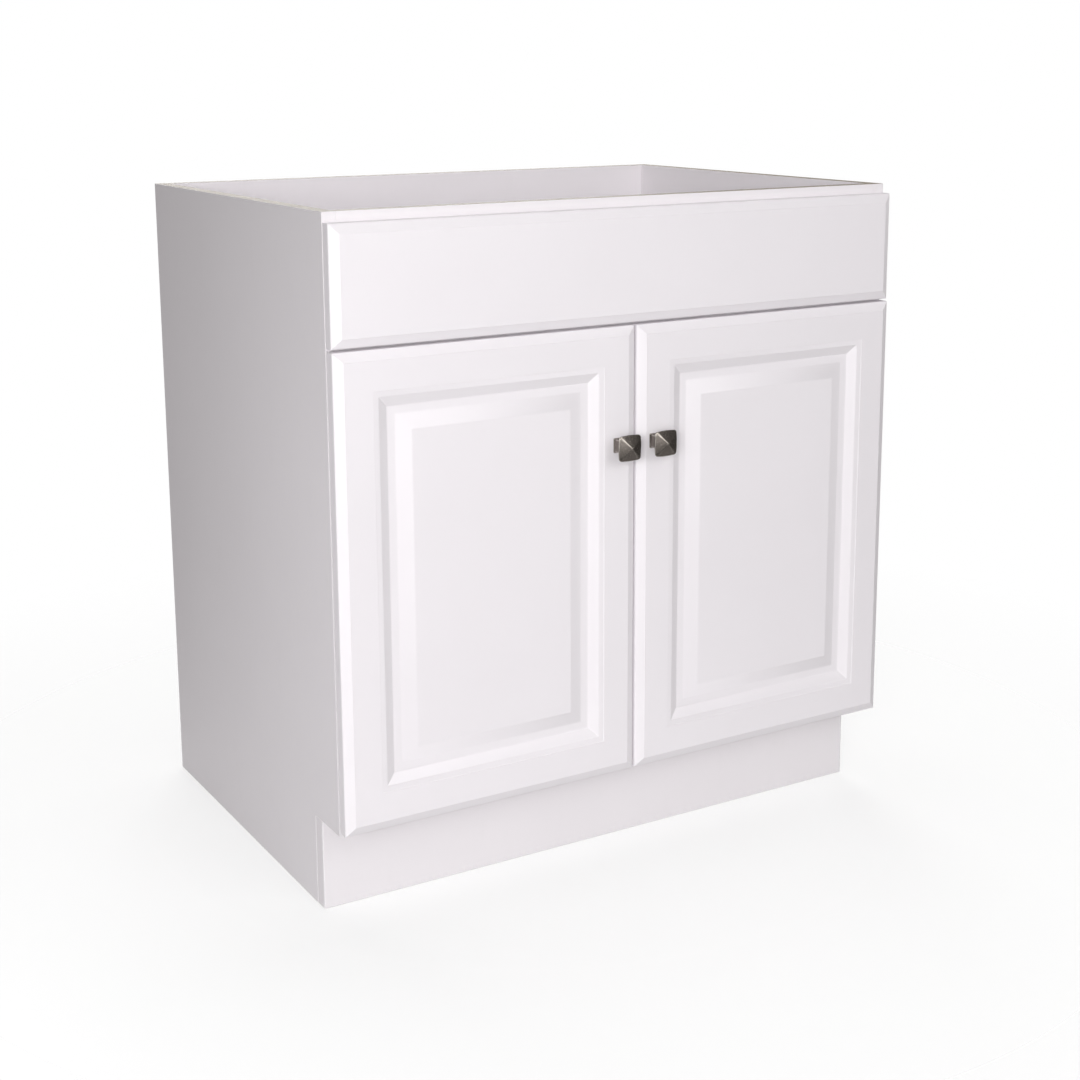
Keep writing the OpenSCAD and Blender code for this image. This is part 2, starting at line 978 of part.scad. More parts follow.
module knob_post(side) {
    waist_z = knob_foot_t + knob_foot_slope;
    color("dimgray")
        at_knob(side)
            difference() {
                union() {
                    translate([-knob_foot_w / 2, -knob_foot_w / 2, 0])
                        cube([knob_foot_w, knob_foot_w, knob_foot_t]);
                    translate([0, 0, knob_foot_t])
                        taper(knob_foot_w, knob_waist_w, knob_foot_slope);
                    translate([-knob_waist_w / 2, -knob_waist_w / 2, waist_z])
                        cube([knob_waist_w, knob_waist_w, knob_post_len - waist_z]);
                }
                translate([0, 0, -eps])
                    cylinder(r = knob_screw_r, h = knob_projection, $fn = round_fn);
            }
}

module knob_screw(side) {
    color("silver")
        at_knob(side) {
            translate([0, 0, -door_t])
                cylinder(r = knob_screw_r, h = door_t + knob_post_len + knob_flare / 2, $fn = round_fn);
            translate([0, 0, -door_t - knob_screw_head_t])
                cylinder(r = knob_screw_head_r, h = knob_screw_head_t, $fn = round_fn);
        }
}

left_side_panel();
right_side_panel();
bottom_panel();
toe_kick_board();
top_front_rail();
mid_front_rail();
back_top_rail();
back_bottom_rail();
false_front();
false_front_screws();
corner_blocks();
corner_block_screws();
toe_kick_brackets();
toe_kick_screws();
cam_locks();
cam_bolts();
dowels();
hinge_plates(-1);  // left_hinge_plates
hinge_plate_screws(-1);  // left_hinge_plate_screws
hinge_arms(-1);  // left_hinge_arms
hinge_arm_screws(-1);  // left_hinge_arm_screws
hinge_arm_pins(-1);  // left_hinge_arm_pins
hinge_links(-1);  // left_hinge_links
hinge_cups(-1);  // left_hinge_cups
hinge_cup_pins(-1);  // left_hinge_cup_pins
hinge_cup_screws(-1);  // left_hinge_cup_screws
hinge_plates(1);  // right_hinge_plates
hinge_plate_screws(1);  // right_hinge_plate_screws
hinge_arms(1);  // right_hinge_arms
hinge_arm_screws(1);  // right_hinge_arm_screws
hinge_arm_pins(1);  // right_hinge_arm_pins
hinge_links(1);  // right_hinge_links
hinge_cups(1);  // right_hinge_cups
hinge_cup_pins(1);  // right_hinge_cup_pins
hinge_cup_screws(1);  // right_hinge_cup_screws
door(-1);  // left_door
door_bumpers(-1);  // left_door_bumpers
knob_head(-1);  // left_knob_head
knob_post(-1);  // left_knob_post
knob_screw(-1);  // left_knob_screw
door(1);  // right_door
door_bumpers(1);  // right_door_bumpers
knob_head(1);  // right_knob_head
knob_post(1);  // right_knob_post
knob_screw(1);  // right_knob_screw
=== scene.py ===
"""Looks of a two-door bathroom vanity cabinet, built around its CAD frame. Metres, +Z up, doors face -Y."""
import json
import math

import bmesh
import bpy
from mathutils import Matrix, Vector


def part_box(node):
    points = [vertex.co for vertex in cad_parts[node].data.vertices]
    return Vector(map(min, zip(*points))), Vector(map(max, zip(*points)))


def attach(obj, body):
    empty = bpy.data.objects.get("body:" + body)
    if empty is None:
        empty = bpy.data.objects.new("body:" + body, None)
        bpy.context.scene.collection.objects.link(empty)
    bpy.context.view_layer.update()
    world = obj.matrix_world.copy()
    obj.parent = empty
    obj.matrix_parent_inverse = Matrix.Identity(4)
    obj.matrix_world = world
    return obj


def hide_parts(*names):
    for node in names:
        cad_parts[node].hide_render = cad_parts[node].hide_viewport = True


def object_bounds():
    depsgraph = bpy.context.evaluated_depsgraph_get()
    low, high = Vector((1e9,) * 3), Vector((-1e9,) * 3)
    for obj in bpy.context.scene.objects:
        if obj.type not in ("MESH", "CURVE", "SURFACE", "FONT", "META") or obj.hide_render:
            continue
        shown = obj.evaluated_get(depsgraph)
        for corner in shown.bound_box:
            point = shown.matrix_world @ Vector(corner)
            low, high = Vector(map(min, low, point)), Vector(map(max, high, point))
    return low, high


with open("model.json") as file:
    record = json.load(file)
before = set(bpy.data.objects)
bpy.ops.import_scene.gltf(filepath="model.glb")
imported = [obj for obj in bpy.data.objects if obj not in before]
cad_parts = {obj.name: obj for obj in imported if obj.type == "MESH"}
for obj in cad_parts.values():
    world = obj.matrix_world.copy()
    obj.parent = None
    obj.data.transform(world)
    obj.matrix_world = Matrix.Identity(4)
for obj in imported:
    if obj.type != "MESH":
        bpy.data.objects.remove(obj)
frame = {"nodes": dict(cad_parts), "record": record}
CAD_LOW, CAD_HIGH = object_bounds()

MM = 0.001
WELD = 0.001 * MM
NODES = frame["nodes"]
RECORD = frame["record"]
SLOT_OF = {part["node"]: part["material_slot"] for part in RECORD["subparts"]}
BODY_OF = {node: body for body, members in RECORD["behaviour"]["bodies"].items() for node in members}
SIDES = ("left", "right")

# ---------------------------------------------------------------- camera and light

CAMERA_PLACE = Vector((-1.1042, -1.9086, 0.9472))
CAMERA_YAW = math.radians(30.58)
CAMERA_PITCH = math.radians(11.22)
CAMERA_ROLL = math.radians(-0.30)
CAMERA_LENS = 57.97
CAMERA_SHIFT_Y = -0.12


def make_camera():
    """A camera in front of the cabinet's left corner, a little above its top."""
    data = bpy.data.cameras.new("camera")
    data.sensor_width = 36.0
    data.lens = CAMERA_LENS
    data.shift_y = CAMERA_SHIFT_Y
    data.clip_start = 0.05
    data.clip_end = 60.0
    camera = bpy.data.objects.new("camera", data)
    bpy.context.scene.collection.objects.link(camera)
    forward = Vector((
        math.sin(CAMERA_YAW) * math.cos(CAMERA_PITCH),
        math.cos(CAMERA_YAW) * math.cos(CAMERA_PITCH),
        -math.sin(CAMERA_PITCH),
    ))
    right = Vector((math.cos(CAMERA_YAW), -math.sin(CAMERA_YAW), 0.0))
    up = right.cross(forward)
    turned_right = math.cos(CAMERA_ROLL) * right + math.sin(CAMERA_ROLL) * up
    turned_up = math.cos(CAMERA_ROLL) * up - math.sin(CAMERA_ROLL) * right
    axes = Matrix((turned_right, turned_up, -forward)).transposed().to_4x4()
    camera.matrix_world = Matrix.Translation(CAMERA_PLACE) @ axes
    bpy.context.scene.camera = camera


def area_light(name, place, target, size, watts, colour):
    """A soft rectangular light at a place, aimed at a target. The camera doesn't see it."""
    data = bpy.data.lights.new(name, "AREA")
    data.shape = "RECTANGLE"
    data.size, data.size_y = size
    data.energy = watts
    data.color = colour
    light = bpy.data.objects.new(name, data)
    bpy.context.scene.collection.objects.link(light)
    light.location = place
    aim = Vector(target) - Vector(place)
    light.rotation_mode = "QUATERNION"
    light.rotation_quaternion = aim.to_track_quat("-Z", "Y")
    light.visible_camera = False


WHITE = (1.0, 1.0, 1.0)
COOL = (0.97, 0.97, 1.0)

# name, place, target, (width, height), watts, colour
LIGHTS = (
    ("key", (-4.0, -5.2, 2.0), (0.0, -0.2, 0.4), (2.0, 2.0), 202.0, WHITE),
    ("near_key", (-0.9, -1.1, 0.7), (-0.3, 0.0, 0.5), (0.4, 0.8), 2.35, WHITE),
    ("front", (0.3, -1.9, 1.1), (0.1, -0.2, 0.4), (0.9, 0.9), 6.9, WHITE),
    ("left", (-1.0, -0.3, 0.36), (-0.38, -0.28, 0.36), (0.3, 0.7), 0.78, COOL),
    ("low_card", (-0.75, -2.5, 0.38), (0.0, -0.2, 0.4), (1.2, 0.7), 4.2, WHITE),
    ("overhead_front", (0.0, -2.4, 3.0), (0.0, -0.2, 0.3), (2.5, 2.5), 12.0, WHITE),
    ("overhead", (0.4, 0.9, 3.0), (0.0, 0.0, 0.3), (2.0, 2.0), 21.0, WHITE),
    ("back", (0.6, 2.6, 1.9), (0.0, 0.0, 0.5), (2.5, 1.5), 36.0, WHITE),
    ("right", (3.0, 0.7, 1.3), (0.0, 0.1, 0.4), (2.0, 2.0), 15.0, WHITE),
)
WORLD_FILL = 0.14
WORLD_TINT = (1.0, 0.955, 0.93, 1.0)


def make_light():
    """Soft studio lights, and a pale world that the camera sees as white."""
    for light in LIGHTS:
        area_light(*light)
    world = bpy.data.worlds.new("studio")
    bpy.context.scene.world = world
    world.use_nodes = True
    nodes, links = world.node_tree.nodes, world.node_tree.links
    nodes.clear()
    out = nodes.new("ShaderNodeOutputWorld")
    mix = nodes.new("ShaderNodeMixShader")
    path = nodes.new("ShaderNodeLightPath")
    fill = nodes.new("ShaderNodeBackground")
    fill.inputs["Color"].default_value = WORLD_TINT
    fill.inputs["Strength"].default_value = WORLD_FILL
    seen = nodes.new("ShaderNodeBackground")
    seen.inputs["Color"].default_value = (*WHITE, 1.0)
    links.new(path.outputs["Is Camera Ray"], mix.inputs["Fac"])
    links.new(fill.outputs["Background"], mix.inputs[1])
    links.new(seen.outputs["Background"], mix.inputs[2])
    links.new(mix.outputs["Shader"], out.inputs["Surface"])
    view = bpy.context.scene.view_settings
    view.view_transform = "Standard"
    view.look = "None"


make_camera()
make_light()

# ---------------------------------------------------------------- materials


class Look:
    """A procedural material: one principled shader and the small graph that feeds it."""

    def __init__(self, name):
        self.material = bpy.data.materials.new(name)
        self.material.use_nodes = True
        self.nodes = self.material.node_tree.nodes
        self.links = self.material.node_tree.links
        self.shader = self.nodes["Principled BSDF"]
        self.place = self.nodes.new("ShaderNodeTexCoord").outputs["Object"]

    def noise(self, scale, detail=3.0, roughness=0.5, stretch=(1.0, 1.0, 1.0)):
        """Noise in the object's own metres; scale is features per metre."""
        mapping = self.nodes.new("ShaderNodeMapping")
        mapping.inputs["Scale"].default_value = stretch
        self.links.new(self.place, mapping.inputs["Vector"])
        noise = self.nodes.new("ShaderNodeTexNoise")
        noise.inputs["Scale"].default_value = scale
        noise.inputs["Detail"].default_value = detail
        noise.inputs["Roughness"].default_value = roughness
        self.links.new(mapping.outputs["Vector"], noise.inputs["Vector"])
        return noise.outputs["Fac"]

    def ranged(self, value, low, high, start=0.25, stop=0.75):
        """The value mapped from start..stop to low..high."""
        node = self.nodes.new("ShaderNodeMapRange")
        node.inputs["From Min"].default_value = start
        node.inputs["From Max"].default_value = stop
        node.inputs["To Min"].default_value = low
        node.inputs["To Max"].default_value = high
        self.links.new(value, node.inputs["Value"])
        return node.outputs["Result"]

    def mixed(self, factor, first, second):
        """A colour between two, each a tuple or a socket."""
        node = self.nodes.new("ShaderNodeMix")
        node.data_type = "RGBA"
        self.links.new(factor, node.inputs["Factor"])
        for name, colour in (("A", first), ("B", second)):
            socket = next(s for s in node.inputs if s.name == name and s.type == "RGBA")
            if isinstance(colour, tuple):
                socket.default_value = (*colour, 1.0)
            else:
                self.links.new(colour, socket)
        return next(s for s in node.outputs if s.type == "RGBA")

    def attribute(self, name):
        """A number stored on the mesh's points, 0 where the mesh has none."""
        node = self.nodes.new("ShaderNodeAttribute")
        node.attribute_name = name
        return node.outputs["Fac"]

    def times(self, first, second):
        """The product of two values."""
        node = self.nodes.new("ShaderNodeMath")
        node.operation = "MULTIPLY"
        self.links.new(first, node.inputs[0])
        self.links.new(second, node.inputs[1])
        return node.outputs["Value"]

    def colour(self, value):
        self.links.new(value, self.shader.inputs["Base Color"])

    def roughness(self, value):
        self.links.new(value, self.shader.inputs["Roughness"])

    def bumps(self, layers):
        """Bump layers, each (height value, distance in metres)."""
        normal = None
        for height, distance in layers:
            bump = self.nodes.new("ShaderNodeBump")
            bump.inputs["Strength"].default_value = 1.0
            bump.inputs["Distance"].default_value = distance
            self.links.new(height, bump.inputs["Height"])
            if normal is not None:
                self.links.new(normal, bump.inputs["Normal"])
            normal = bump.outputs["Normal"]
        self.links.new(normal, self.shader.inputs["Normal"])


def front_white():
    """The smooth satin film on the doors and the false front, with faint clouds of tone."""
    look = Look("front_white")
    tone = look.ranged(look.noise(9.0, 2.0), 0.0, 1.0)
    look.colour(look.mixed(tone, (0.880, 0.848, 0.878), (0.893, 0.861, 0.892)))
    look.roughness(look.ranged(look.noise(130.0, 4.0, 0.6), 0.33, 0.43))
    look.shader.inputs["Specular IOR Level"].default_value = 0.45
    look.bumps([
        (look.noise(650.0, 2.0), 0.012 * MM),
        (look.noise(22.0, 2.0), 0.10 * MM),
    ])
    return look.material


def carcass_white():
    """The boards' finely grained laminate with faint handling marks, and a darker brown speckled colour on
    their top faces.
    """
    look = Look("carcass_white")
    tone = look.ranged(look.noise(5.0, 3.0), 0.0, 1.0)
    base = look.mixed(tone, (0.838, 0.806, 0.830), (0.858, 0.826, 0.850))
    marks = look.ranged(look.noise(34.0, 5.0, 0.7, (1.0, 1.0, 0.3)), 0.0, 0.4, 0.56, 0.8)
    laminate = look.mixed(marks, base, (0.81, 0.78, 0.80))
    top_speckle = look.ranged(look.noise(380.0, 4.0, 0.7), 0.0, 1.0, 0.35, 0.65)
    top_colour = look.mixed(top_speckle, (0.26, 0.215, 0.16), (0.44, 0.38, 0.30))
    look.colour(look.mixed(look.attribute("dark_top"), laminate, top_colour))
    look.roughness(look.ranged(look.noise(90.0, 4.0, 0.6), 0.42, 0.54))
    look.shader.inputs["Specular IOR Level"].default_value = 0.4
    look.bumps([
        (look.noise(1500.0, 2.0, 0.6), 0.010 * MM),
        (look.noise(14.0, 2.0), 0.08 * MM),
    ])
    return look.material


def knob_pewter():
    """Dark antique plate: mottled brown-black, with a painted highlight that lightens its ridges, rims and
    apex.
    """
    look = Look("knob_pewter")
    mottle = look.ranged(look.noise(900.0, 5.0, 0.65), 0.0, 1.0)
    cloud = look.ranged(look.noise(160.0, 3.0), 0.0, 1.0)
    dark = look.mixed(mottle, (0.185, 0.158, 0.144), (0.285, 0.254, 0.232))
    aged = look.mixed(cloud, dark, (0.235, 0.210, 0.188))
    # Painted highlight: the knob is lightened towards pale metal where its mesh number is high, on the
    # ridges, rims and apex
    wear_and_sheen_mask = look.times(look.attribute("wear_and_sheen"), look.ranged(look.noise(1300.0, 4.0), 0.65, 1.0))
    look.colour(look.mixed(wear_and_sheen_mask, aged, (0.70, 0.66, 0.60)))
    look.shader.inputs["Metallic"].default_value = 1.0
    look.roughness(look.ranged(look.noise(1100.0, 4.0, 0.6), 0.17, 0.30))
    look.bumps([
        (look.noise(2600.0, 3.0, 0.6), 0.015 * MM),
        (look.noise(420.0, 3.0), 0.05 * MM),
    ])
    return look.material


def plated_steel(name, base, bright, grain, rough):
    """Pressed and plated steel with fine drawn lines along the part and small rubbed patches."""
    look = Look(name)
    lines = look.noise(420.0, 4.0, 0.6, (1.0, 0.12, 1.0))
    patches = look.ranged(look.noise(90.0, 4.0, 0.6), 0.0, 1.0)
    toned = look.mixed(patches, base, bright)
    # On steel parts this mask holds only rubbed wear on rounded edges and screw heads
    wear_and_sheen_mask = look.times(look.attribute("wear_and_sheen"), look.ranged(look.noise(700.0), 0.5, 1.0))
    look.colour(look.mixed(wear_and_sheen_mask, toned, (0.86, 0.85, 0.83)))
    look.shader.inputs["Metallic"].default_value = 1.0
    look.roughness(look.ranged(lines, rough, rough + 0.14))
    look.bumps([
        (lines, grain * MM),
        (look.noise(1800.0, 2.0), 0.006 * MM),
    ])
    return look.material


def beech():
    """Bare beech with short darker flecks along the grain."""
    look = Look("beech")
    grain = look.noise(260.0, 4.0, 0.6, (0.12, 1.0, 1.0))
    flecks = look.ranged(look.noise(900.0, 2.0, 0.5, (0.2, 1.0, 1.0)), 0.0, 0.7, 0.55, 0.75)
    base = look.mixed(look.ranged(grain, 0.0, 1.0), (0.60, 0.42, 0.25), (0.74, 0.56, 0.37))
    look.colour(look.mixed(flecks, base, (0.42, 0.27, 0.15)))
    look.roughness(look.ranged(grain, 0.55, 0.72))
    look.bumps([(grain, 0.06 * MM)])
    return look.material


def bracket_plastic():
    """Moulded white plastic with the fine spark texture of its tool."""
    look = Look("bracket_plastic")
    tone = look.ranged(look.noise(40.0, 3.0), 0.0, 1.0)
    look.colour(look.mixed(tone, (0.80, 0.80, 0.785), (0.84, 0.84, 0.83)))
    look.roughness(look.ranged(look.noise(800.0, 3.0), 0.45, 0.60))
    look.bumps([(look.noise(2200.0, 2.0), 0.02 * MM)])
    return look.material


def bumper_clear():
    """Soft clear silicone, slightly clouded inside."""
    look = Look("bumper_clear")
    cloud = look.ranged(look.noise(500.0, 3.0), 0.0, 1.0)
    look.colour(look.mixed(cloud, (0.86, 0.87, 0.86), (0.78, 0.79, 0.78)))
    look.roughness(look.ranged(look.noise(900.0, 2.0), 0.18, 0.34))
    look.shader.inputs["Transmission Weight"].default_value = 0.55
    look.shader.inputs["IOR"].default_value = 1.41
    look.bumps([(look.noise(1400.0, 2.0), 0.01 * MM)])
    return look.material


LOOKS = {
    "front_white": front_white(),
    "carcass_white": carcass_white(),
    "knob_pewter": knob_pewter(),
    "nickel": plated_steel("nickel", (0.60, 0.585, 0.56), (0.70, 0.685, 0.66), 0.012, 0.24),
    "zinc": plated_steel("zinc", (0.50, 0.51, 0.53), (0.60, 0.61, 0.62), 0.02, 0.34),
    "beech": beech(),
    "bracket_plastic": bracket_plastic(),
    "bumper_clear": bumper_clear(),
}

# ---------------------------------------------------------------- mesh helpers

# Edges that turn by less than these are shaded smooth
FRONT_SMOOTH = math.radians(32.0)
SMALL_SMOOTH = math.radians(40.0)
BOARD_SMOOTH = math.radians(50.0)
KNOB_SMOOTH = math.radians(60.0)


def add_piece(name, builder, node, smooth_angle):
    """Turns a bmesh into a piece that stands for a CAD node and rides on its body."""
    bmesh.ops.recalc_face_normals(builder, faces=builder.faces)
    mesh = bpy.data.meshes.new(name)
    builder.to_mesh(mesh)
    builder.free()
    for polygon in mesh.polygons:
        polygon.use_smooth = True
    mesh.set_sharp_from_angle(angle=smooth_angle)
    piece = bpy.data.objects.new(name, mesh)
    bpy.context.scene.collection.objects.link(piece)
    weigh = piece.modifiers.new("weighted normals", "WEIGHTED_NORMAL")
    weigh.keep_sharp = True
    slot = SLOT_OF[node]
    mesh.materials.append(LOOKS[slot])
    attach(piece, BODY_OF[node])
    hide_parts(node)


# A rounded corner takes up to this part of each leg, with one step per so many degrees of turn
LEG_SHARE = 0.48
STEP_ANGLE = 8.0
FEWEST_STEPS = 3


def softened(points):
    """An outline of (x, y, radius) corners, each rounded to its radius as far as its legs allow."""
    out = [points[0][:2]]
    for before, corner, after in zip(points, points[1:], points[2:]):
        radius = corner[2]
        before, corner, after = Vector(before[:2]), Vector(corner[:2]), Vector(after[:2])
        into, away = corner - before, after - corner
        turn = into.angle(away)
        reach = min(radius * math.tan(turn / 2.0), into.length * LEG_SHARE, away.length * LEG_SHARE)
        if reach <= 0.0:
            out.append(tuple(corner))
            continue
        start = corner - into.normalized() * reach
        stop = corner + away.normalized() * reach
        steps = max(FEWEST_STEPS, math.ceil(math.degrees(turn) / STEP_ANGLE))
        for i in range(steps + 1):
            t = i / steps
            out.append(tuple(start.lerp(corner, t).lerp(corner.lerp(stop, t), t)))
    out.append(points[-1][:2])
    return out


def loft(builder, rings, wear_and_sheen=None):
    """Joins closed rings of equal length by quads and caps both ends. The optional wear numbers, one for
    each point, give rubbed wear on screws and a painted highlight on the knobs.
    """
    layer = builder.verts.layers.float.get("wear_and_sheen") or builder.verts.layers.float.new("wear_and_sheen")
    made = []
    for k, ring in enumerate(rings):
        made.append([builder.verts.new(point) for point in ring])
        if wear_and_sheen is not None:
            for vert, value in zip(made[-1], wear_and_sheen[k]):
                vert[layer] = value
    count = len(rings[0])
    for first, second in zip(made, made[1:]):
        for i in range(count):
            j = (i + 1) % count
            builder.faces.new((first[i], first[j], second[j], second[i]))
    builder.faces.new(list(reversed(made[0])))
    builder.faces.new(made[-1])


# ---------------------------------------------------------------- moulded fronts

# The profile of a front: widths W across it, depths D below its face and corner radii R
EDGE_W = 10.5 * MM
EDGE_D = 5.5 * MM
EDGE_R = 2.5 * MM
BACK_R = 0.4 * MM
BORDER_W = 44.5 * MM
STEP_W = 0.15 * MM
STEP_D = 0.5 * MM
STEP_R = 0.3 * MM
LIP_W = 6.0 * MM
LIP_D = 1.3 * MM
LIP_R = 4.0 * MM
FALL_W = 12.5 * MM
GROOVE_W = 9.0 * MM
GROOVE_D = 8.0 * MM
GROOVE_OUTER_R = 6.0 * MM
GROOVE_INNER_R = 7.0 * MM
BEVEL_W = 17.5 * MM
FIELD_D = 1.2 * MM
FIELD_R = 4.0 * MM
GROOVE_AT = BORDER_W + LIP_W + FALL_W
PANEL_MARGIN = GROOVE_AT + GROOVE_W + BEVEL_W
# Narrow flat rims beside a profile, which keep its shading off the wide flat faces
BACK_RIM = 1.5 * MM
BORDER_RIM = 2.5 * MM
FIELD_RIM = 3.0 * MM


def edge_outline(thickness):
    """A front's outer edge as (distance from the edge, depth, radius), from its back to its border."""
    return [
        (BACK_RIM, thickness, 0.0),
        (0.0, thickness, BACK_R),
        (0.0, EDGE_D, EDGE_R),
        (EDGE_W, STEP_D, STEP_R),
        (EDGE_W + STEP_W, 0.0, STEP_R),
        (EDGE_W + BORDER_RIM, 0.0, 0.0),
    ]


def panel_outline():
    """The raised panel's moulding as (distance from the edge, depth, radius), from border to centre."""
    return [
        (BORDER_W - BORDER_RIM, 0.0, 0.0),
        (BORDER_W - STEP_W, 0.0, STEP_R),
        (BORDER_W, STEP_D, STEP_R),
        (BORDER_W + LIP_W, LIP_D, LIP_R),
        (GROOVE_AT, GROOVE_D, GROOVE_OUTER_R),
        (GROOVE_AT + GROOVE_W, GROOVE_D, GROOVE_INNER_R),
        (PANEL_MARGIN, FIELD_D, FIELD_R),
        (PANEL_MARGIN + FIELD_RIM, FIELD_D, 0.0),
    ]


def circle_points(centre, radius, count, y):
    """Points of a circle in a plane of constant y."""
    return [
        Vector((
            centre[0] + radius * math.cos(2.0 * math.pi * i / count),
            y,
            centre[1] + radius * math.sin(2.0 * math.pi * i / count),
        ))
        for i in range(count)
    ]


# Beyond this distance from the middle, an edge is one of the cabinet's outer edges
OUTER_EDGE = 0.3
# How far a front's outer edge reaches past its CAD solid, over the board edge behind it
EDGE_LAP = 0.5 * MM


def front(name, node, raised, pockets=()):
    """A moulded front in its CAD node's box. pockets are holes in its back: (x, z, radius, depth)."""
    low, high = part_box(node)
    for corner, outwards in ((low, -1.0), (high, 1.0)):
        if abs(corner.x) > OUTER_EDGE:
            corner.x += outwards * EDGE_LAP
    outline = edge_outline(high.y - low.y)
    if raised:
        outline += panel_outline()
    builder = bmesh.new()
    rings = []
    for inset, depth in softened(outline):
        x0, x1 = low.x + inset, high.x - inset
        z0, z1 = low.z + inset, high.z - inset
        y = low.y + depth
        rings.append([builder.verts.new(p) for p in ((x0, y, z0), (x1, y, z0), (x1, y, z1), (x0, y, z1))])
    for first, second in zip(rings, rings[1:]):
        for i in range(4):
            j = (i + 1) % 4
            builder.faces.new((first[i], first[j], second[j], second[i]))
    builder.faces.new(rings[-1])
    close_back(builder, rings[0], high.y, pockets)
    add_piece(name, builder, node, FRONT_SMOOTH)


POCKET_SIDES = 72


def close_back(builder, rim, y, pockets):
    """Fills a front's back inside its rim, with round pockets let into it."""
    edges = [builder.edges.get(pair) for pair in zip(rim, rim[1:] + rim[:1])]
    for x, z, radius, depth in pockets:
        mouth = [builder.verts.new(p) for p in circle_points((x, z), radius, POCKET_SIDES, y)]
        floor = [builder.verts.new(p) for p in circle_points((x, z), radius, POCKET_SIDES, y - depth)]
        for i in range(POCKET_SIDES):
            j = (i + 1) % POCKET_SIDES
            builder.faces.new((mouth[i], mouth[j], floor[j], floor[i]))
            edges.append(builder.edges.get((mouth[i], mouth[j])))
        builder.faces.new(floor)
    bmesh.ops.triangle_fill(builder, use_beauty=True, edges=edges)


def solids(node):
    """The boxes of a node's separate solids, as (low, high)."""
    builder = bmesh.new()
    builder.from_mesh(NODES[node].data)
    bmesh.ops.remove_doubles(builder, verts=builder.verts, dist=WELD)
    left = set(builder.verts)
    boxes = []
    while left:
        group, queue = [], [left.pop()]
        while queue:
            vert = queue.pop()
            group.append(vert.co.copy())
            for edge in vert.link_edges:
                other = edge.other_vert(vert)
                if other in left:
                    left.remove(other)
                    queue.append(other)
        low = Vector(min(p[k] for p in group) for k in range(3))
        high = Vector(max(p[k] for p in group) for k in range(3))
        boxes.append((low, high))
    builder.free()
    return sorted(boxes, key=lambda b: tuple(round(v, 5) for v in b[0]))


CUP_R = 17.5 * MM


def make_fronts():
    """The false front and both doors, whose backs hold the hinge cups."""
    front("false_front_moulded", "false_front", raised=False)
    for side in SIDES:
        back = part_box(side + "_door")[1].y
        pockets = []
        for low, high in solids(side + "_hinge_cups"):
            outer = low.x if side == "left" else high.x
            centre = outer + CUP_R if side == "left" else outer - CUP_R
            pockets.append((centre, (low.z + high.z) / 2.0, CUP_R, back - low.y))
        front(side + "_door_moulded", side + "_door", raised=True, pockets=pockets)


make_fronts()

# ---------------------------------------------------------------- refined CAD parts

# How far a sharp edge is rounded off
BOARD_ARRIS = 0.4 * MM
TOE_ARRIS = 1.4 * MM
METAL_ARRIS = 0.14 * MM
ARRIS_SEGMENTS = 2
# Faces that turn by less than the first are one flat face, by more than the second meet in a sharp edge
FLAT_TURN = math.radians(0.5)
SHARP_TURN = math.radians(35.0)
SHORTEST_OUTLINE = 3.0 * MM
SQUARE_ENOUGH = 0.9999
TOP_SLACK = 0.01 * MM

PANELS = (
    "left_side_panel", "right_side_panel", "bottom_panel", "toe_kick_board", "top_front_rail",
    "mid_front_rail", "back_top_rail", "back_bottom_rail",
)
DARK_TOPPED = ("left_side_panel", "right_side_panel", "top_front_rail", "back_top_rail")
BLOCKS = ("corner_blocks", "toe_kick_brackets")
LOOSE_FITTINGS = ("cam_locks", "cam_bolts")
HINGE_PARTS = (
    "hinge_plates", "hinge_arms", "hinge_arm_pins", "hinge_links", "hinge_cups", "hinge_cup_pins",
)


def is_outline(edge):
    """Whether an edge is part of a panel's outline and not the rim of a drilled hole."""
    square = all(max(abs(part) for part in face.normal) > SQUARE_ENOUGH for face in edge.link_faces)
    return square and edge.calc_length() > SHORTEST_OUTLINE


def refined(node, arris):
    """A copy of a CAD node's mesh, with flat faces joined and sharp edges rounded and marked as worn."""
    builder = bmesh.new()
    builder.from_mesh(NODES[node].data)
    bmesh.ops.remove_doubles(builder, verts=builder.verts, dist=WELD)
    bmesh.ops.dissolve_limit(builder, angle_limit=FLAT_TURN, verts=builder.verts, edges=builder.edges)
    wear_and_sheen = builder.verts.layers.float.new("wear_and_sheen")
    sharp = [
        edge for edge in builder.edges
        if len(edge.link_faces) == 2 and edge.calc_face_angle(0.0) > SHARP_TURN
        and (node not in PANELS or is_outline(edge))
    ]
    result = bmesh.ops.bevel(
        builder, geom=sharp, offset=arris, segments=ARRIS_SEGMENTS, profile=0.5,
        affect="EDGES", clamp_overlap=True,
    )
    for vert in result["verts"]:
        vert[wear_and_sheen] = 1.0
    if node in DARK_TOPPED:
        mark_dark_top(builder)
    add_piece(node + "_part", builder, node, BOARD_SMOOTH)


def mark_dark_top(builder):
    """Marks the upper face of a board, which takes a darker brown speckled colour."""
    dark_top = builder.verts.layers.float.new("dark_top")
    top = max(vert.co.z for vert in builder.verts)
    for vert in builder.verts:
        vert[dark_top] = 1.0 if vert.co.z > top - TOP_SLACK else 0.0


def make_refined():
    """Every board, block and fitting whose CAD shape is kept."""
    for node in PANELS + BLOCKS:
        refined(node, TOE_ARRIS if node == "toe_kick_board" else BOARD_ARRIS)
    for node in LOOSE_FITTINGS:
        refined(node, METAL_ARRIS)
    for side in SIDES:
        for part in HINGE_PARTS:
            refined(side + "_" + part, METAL_ARRIS)
    refined("dowels", METAL_ARRIS)


make_refined()

# ---------------------------------------------------------------- screws

SCREW_SIDES = 48
# Parts of the head's radius: the recess's half width and reach, the head's height, the shank and its tip
RECESS_W = 0.17
RECESS_L = 0.62
HEAD_HEIGHT = 0.58
SHANK = 0.5
TIP = 0.3
